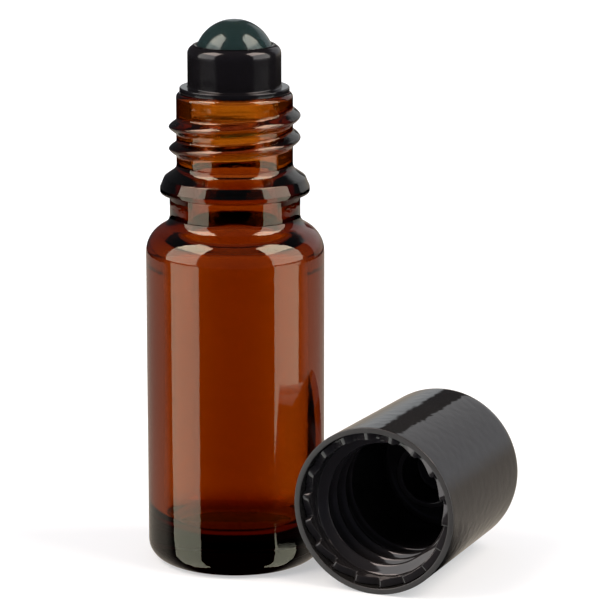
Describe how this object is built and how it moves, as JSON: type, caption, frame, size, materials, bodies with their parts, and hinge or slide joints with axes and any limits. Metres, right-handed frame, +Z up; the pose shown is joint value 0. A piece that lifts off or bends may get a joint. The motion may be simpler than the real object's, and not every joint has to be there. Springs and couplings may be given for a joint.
{
  "type": "roll on bottle",
  "caption": "Small amber glass bottle with a threaded neck, a clear plug pressed into it, a black roller housing with its ball on top, and a black screw cap lying beside it.",
  "frame": {"origin": "centre of the bottle's base, on the surface it stands on", "axes": "+Z up along the bottle's axis; -Y towards the camera of the picture; the cap lies on the +X side"},
  "size_m": [0.0514, 0.0347, 0.075],
  "materials": {
    "amber_glass": "clear amber, glossy",
    "plug_plastic": "clear, glossy",
    "housing_plastic": "glossy black",
    "ball_glass": "clear glass over black, faintly green",
    "cap_gloss": "glossy black",
    "liner_plastic": "satin black"
  },
  "bodies": {
    "bottle": {"glass_bottle": "amber_glass", "neck_plug": "plug_plastic", "roller_housing": "housing_plastic"},
    "ball": {"roller_ball": "ball_glass"},
    "cap": {"cap_shell": "cap_gloss", "cap_liner": "liner_plastic"}
  },
  "joints": [
    {"name": "ball_roll", "type": "hinge", "parent": "bottle", "child": "ball", "pos_m": [0, 0, 0.0696], "axis": [1, 0, 0], "continuous": true},
    {"name": "cap_lift", "type": "slide", "parent": "bottle", "child": "cap", "axis": [0, 0, 1], "range_m": [0, 0.08]}
  ]
}
